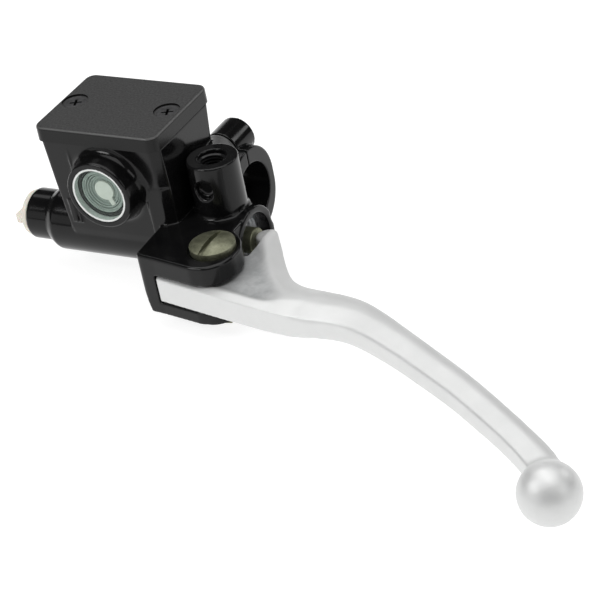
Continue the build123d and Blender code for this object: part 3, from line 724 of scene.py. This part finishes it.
# along the lever, in mm from the pivot: how wide each facet of its roof is, and how far it falls
FRONT_FACET = ([-18, 5, 22, 40, 60, 90], [2.2, 2.6, 4.5, 7.8, 7.2, 6.0])
FRONT_DROP = ([-18, 5, 22, 40, 90], [1.1, 1.2, 1.3, 1.6, 1.5])
REAR_FACET = ([8, 20, 34, 50, 90], [5.5, 7.0, 6.5, 5.0, 3.6])
REAR_DROP = ([8, 20, 34, 50, 90], [1.7, 2.0, 1.5, 1.1, 0.9])
REAR_ROUND = 1.6
# where each of these sets in and where it is full, in mm: along the lever, the roof's change from the
# hub's height to the arm's and the start of the rear facet; from each edge, the recess; and its end
ROOF_CHANGE, REAR_START = (24.0, 60.0), (8.5, 13.0)
RECESS_FRONT, RECESS_REAR, RECESS_END = (3.0, 5.2), (4.5, 9.5), (22.0, 33.0)
RECESS_DEPTH = 0.9 * MM
BALL_CLEAR = 0.6 * MM
# the neck where the arm meets the ball: the arm's direction in plan, then the shell round the ball
# where smoothing is full, as a share of the ball's radius, where it fades out, and its passes
NECK_RUN = np.array([0.72, -0.69])
NECK_SHARE, NECK_INNER, NECK_OUTER, NECK_PASSES = 1.02, 0.8 * MM, 4.5 * MM, 30
SOFT_PASSES = 16


def from_pivot(points):
    return np.array(points) * MM + np.array(PIVOT[:2])


def hub_edges():
    return from_pivot(spline(HUB_FRONT, 10)), from_pivot(spline(HUB_REAR, 10))


def lever_skin():
    """Hub, nose, arm and ball in one closed mesh."""
    front, rear = hub_edges()
    outline = np.vstack([front, rear, from_pivot(HUB_FINGER)])
    nose = circle(PIVOT.x + NOSE_OUT, BORE.y, NOSE_R, 24)
    return joined("lever_skin", [prism(outline, HUB_BOTTOM, HUB_TOP),
                                 prism(nose, BORE.z - NOSE_BELOW, BORE.z + NOSE_ABOVE),
                                 arm_skin(), ball_skin(BALL, BALL_R)])


def lever_edges():
    """The whole lever's front and rear edge in plan."""
    front, rear = hub_edges()
    rows, run = arm_rows()
    rows, run = rows[ARM_FROM:], run[ARM_FROM:]
    normal = np.stack([-run[:, 1], run[:, 0]], 1)
    arm_front = rows[:, :2] - normal * rows[:, 3:4] / 2
    arm_rear = rows[:, :2] + normal * rows[:, 3:4] / 2
    return (np.vstack([front[front[:, 0] < arm_front[0, 0]], arm_front]),
            np.vstack([arm_rear[::-1], rear[rear[:, 0] < arm_rear[0, 0]]]))


def neck_weight(mesh):
    """How much each point belongs to the neck, on the arm's side of the ball."""
    co = coordinates(mesh)
    from_ball = np.linalg.norm(co - np.array(BALL), axis=1)
    weight = 1 - smoothstep(np.abs(from_ball - BALL_R * NECK_SHARE), NECK_INNER, NECK_OUTER)
    return weight * (co[:, :2] @ NECK_RUN < np.array(BALL[:2]) @ NECK_RUN)


def sculpt_roof(piece):
    """Lowers the flat top to two facets and the cast recess, and marks the recess for its material, which paints
    it darker as cast skin and painted shade.
    """
    front_line, rear_line = lever_edges()
    rows, _ = arm_rows()
    co = coordinates(piece.data)
    plan = co[:, :2]
    from_front = distance_to_line(plan, front_line) / MM
    from_rear = distance_to_line(plan, rear_line) / MM
    x = (plan[:, 0] - PIVOT.x) / MM
    top_line = np.interp(x, (rows[:, 0] - PIVOT.x) / MM, rows[:, 2] + rows[:, 4] / 2)
    top = HUB_TOP + (top_line - HUB_TOP) * smoothstep(x, *ROOF_CHANGE)
    front_fall = 1 - np.clip(from_front / np.interp(x, *FRONT_FACET), 0, 1)
    limit = top - np.interp(x, *FRONT_DROP) * MM * front_fall
    rear_fall = 1 - np.clip(from_rear / np.interp(x, *REAR_FACET), 0, 1)
    on_hub = smoothstep(x, *REAR_START)
    limit = np.minimum(limit, top - np.interp(x, *REAR_DROP) * MM * rear_fall ** REAR_ROUND * on_hub)
    web = smoothstep(from_front, *RECESS_FRONT) * smoothstep(from_rear, *RECESS_REAR)
    web *= 1 - smoothstep(x, *RECESS_END)
    limit = np.minimum(limit, top - RECESS_DEPTH * web)
    off_ball = np.linalg.norm(co - np.array(BALL), axis=1) > BALL_R + BALL_CLEAR
    co[:, 2] = np.where(off_ball, np.minimum(co[:, 2], limit), co[:, 2])
    set_coordinates(piece.data, co)
    recess = piece.data.attributes.new("recess", "FLOAT", "POINT")
    recess.data.foreach_set("value", web.astype(np.float32))


def drill_bush_seat(piece):
    seat = prism(circle(PIVOT.x, PIVOT.y, BUSH_SEAT_R, 64), HUB_BOTTOM - SEAT_DRILL, HUB_TOP + SEAT_DRILL)
    hole = new_piece("bush_hole", mesh_from("bush_hole", *seat))
    recalculate_normals(hole.data)
    cut = piece.modifiers.new("hole", "BOOLEAN")
    cut.operation, cut.object, cut.solver = "DIFFERENCE", hole, "EXACT"
    apply_modifiers(piece)
    bpy.data.objects.remove(hole)


def build_lever():
    piece = new_piece("lever_blade", lever_skin())
    voxelled(piece, LEVER_VOXEL, LEVER_PASSES)
    neck = neck_weight(piece.data)
    sculpt_roof(piece)
    add_smoothing(piece, "neck", neck, NECK_PASSES)
    soft = piece.modifiers.new("soft", "SMOOTH")
    soft.factor, soft.iterations = SMOOTHING, SOFT_PASSES
    apply_modifiers(piece)
    piece.vertex_groups.clear()
    drill_bush_seat(piece)
    shade_smooth(piece, 50)
    dress(piece, "lever_aluminium")
    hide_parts("lever")
    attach(piece, "lever")


build_lever()


# ---------------------------------------------------------------- return spring
def build_return_spring():
    """The CAD spring's own coil, fixed to the housing."""
    coil = new_piece("return_spring_coil", frame["nodes"]["return_spring"].data.copy())
    dress(coil, "zinc_steel")
    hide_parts("return_spring")
    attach(coil, "housing")
    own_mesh(coil)


build_return_spring()


# ---------------------------------------------------------------- sight glass
# this frame's Z points out of the glass, and its origin is in the glass's outer face
FACE = Vector((GLASS.x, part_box("sight_glass_lens")[0].y, GLASS.z))
GLASS_PLACE = Matrix.Translation(FACE) @ FACING_FRONT


PLATE_EDGE = 0.12 * MM
DISC_R, TAB_TURN, TAB_REACH, TAB_HALF = 3.7, math.radians(-62), 6.6, 0.95
DISC_BACK, DISC_FRONT = -4.2, -3.2
# radius and depth, in mm, of the stepped cup with its concentric ridges
CUP = [(8.1, -2.2), (8.1, -5.0), (0.2, -5.0), (0.2, -4.3), (4.3, -4.3), (4.6, -3.9), (5.2, -3.9),
       (5.35, -3.3), (5.75, -3.3), (5.95, -3.9), (6.2, -3.0), (6.6, -3.0), (6.8, -3.6), (7.0, -2.6),
       (7.4, -2.6), (7.55, -2.3)]


def build_cup():
    verts, faces = lathe([(r * MM, z * MM) for r, z in CUP], 96, GLASS_PLACE)
    mesh = mesh_from("sight_glass_well", verts, faces)
    recalculate_normals(mesh)
    piece = new_piece("sight_glass_well", mesh)
    shade_smooth(piece, 35)
    dress(piece, "glass_well")
    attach(piece, "housing")
    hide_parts("sight_glass_reflector")


def disc_with_tab(radius, tab_angle, tab_reach, tab_half, steps=72):
    """A round disc with one radial tab."""
    points = []
    half = math.asin(tab_half / radius)
    for i in range(steps + 1):
        a = tab_angle + half + (2 * math.pi - 2 * half) * i / steps
        points.append((radius * math.cos(a), radius * math.sin(a)))
    c, s = math.cos(tab_angle), math.sin(tab_angle)
    points.append((tab_reach * c + tab_half * s, tab_reach * s - tab_half * c))
    points.append((tab_reach * c - tab_half * s, tab_reach * s + tab_half * c))
    return points


def build_disc():
    outline = [(x * MM, y * MM) for x, y in disc_with_tab(DISC_R, TAB_TURN, TAB_REACH, TAB_HALF)]
    flat, faces = prism(outline, DISC_BACK * MM, DISC_FRONT * MM)
    mesh = mesh_from("sight_glass_disc", [GLASS_PLACE @ Vector(v) for v in flat], faces)
    recalculate_normals(mesh)
    piece = new_piece("sight_glass_disc", mesh)
    bevel = piece.modifiers.new("edges", "BEVEL")
    bevel.width, bevel.segments, bevel.limit_method = PLATE_EDGE, 2, "ANGLE"
    apply_modifiers(piece)
    shade_smooth(piece, 40)
    dress(piece, "reflector_white")
    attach(piece, "housing")


build_cup()
build_disc()


# ---------------------------------------------------------------- stage, light and camera
FLOOR_HALF, FLOOR_GAP = 4, 0.3 * MM


def soft_floor():
    corners = [(-FLOOR_HALF, -FLOOR_HALF, 0), (FLOOR_HALF, -FLOOR_HALF, 0),
               (FLOOR_HALF, FLOOR_HALF, 0), (-FLOOR_HALF, FLOOR_HALF, 0)]
    mesh = mesh_from("floor", corners, [[0, 1, 2, 3]])
    floor = new_piece("floor", mesh)
    floor.location.z = cad_low.z - FLOOR_GAP
    n = Nodes("floor_white")
    n.colour(n.ramp(n.noise(6, 2), [(0.3, (0.32, 0.32, 0.32)), (0.7, (0.33, 0.33, 0.33))]))
    n.set(Roughness=0.9, Emission_Color=(1, 1, 1, 1), Emission_Strength=0.86)
    floor.data.materials.append(n.material)


soft_floor()


# each lamp: place from the object's middle, width, watts, height
LAMPS = {"key": ((0.05, 0.05, 0.74), 1.1, 5.3, 0.8),
         "top_front": ((-0.37, -0.46, 0.56), 0.34, 1.9, 0.2),
         "back_right": ((0.48, 0.63, 0.42), 0.28, 0.9, 0.28),
         "roof": ((-0.42, 0.34, 0.62), 0.4, 0.5, 0.3),
         "backdrop": ((-0.50, 1.05, 0.14), 1.7, 1.7, 0.36),
         "front_panel": ((-0.50, -0.86, 0.28), 1.0, 1.2, 0.45),
         "side": ((0.8, -0.1, 0.35), 0.4, 0.9, 0.4)}
middle = (cad_low + cad_high) / 2


def area_light(name, offset, width, power, height):
    light = bpy.data.lights.new(name, "AREA")
    light.energy = power
    light.shape = "RECTANGLE"
    light.size, light.size_y = width, height
    lamp = bpy.data.objects.new(name, light)
    collection.objects.link(lamp)
    lamp.location = middle + Vector(offset)
    lamp.rotation_euler = (middle - lamp.location).to_track_quat("-Z", "Y").to_euler()


for lamp_name, settings in LAMPS.items():
    area_light(lamp_name, *settings)

world = bpy.data.worlds.new("studio")
bpy.context.scene.world = world
world.use_nodes = True
world.node_tree.nodes["Background"].inputs["Color"].default_value = (1, 1, 1, 1)
world.node_tree.nodes["Background"].inputs["Strength"].default_value = 0.05

# the camera: its place in metres, then in degrees how far it stands round from the front, how far
# above the level, and its tilt
CAMERA_AT = (0.400746, -0.573300, 0.392932)
CAMERA_AZIMUTH, CAMERA_ELEVATION, CAMERA_ROLL = 33.57, 32.467, -11.387
turned = (Matrix.Rotation(math.radians(CAMERA_AZIMUTH), 4, "Z")
          @ Matrix.Rotation(math.radians(90 - CAMERA_ELEVATION), 4, "X")
          @ Matrix.Rotation(math.radians(CAMERA_ROLL), 4, "Z"))
camera_data = bpy.data.cameras.new("camera")
camera_data.lens, camera_data.sensor_width = 134.43, 36.0
camera_data.clip_start, camera_data.clip_end = 0.01, 20.0
camera = bpy.data.objects.new("camera", camera_data)
collection.objects.link(camera)
camera.matrix_world = Matrix.Translation(CAMERA_AT) @ turned
bpy.context.scene.camera = camera
bpy.context.scene.view_settings.view_transform = "Standard"
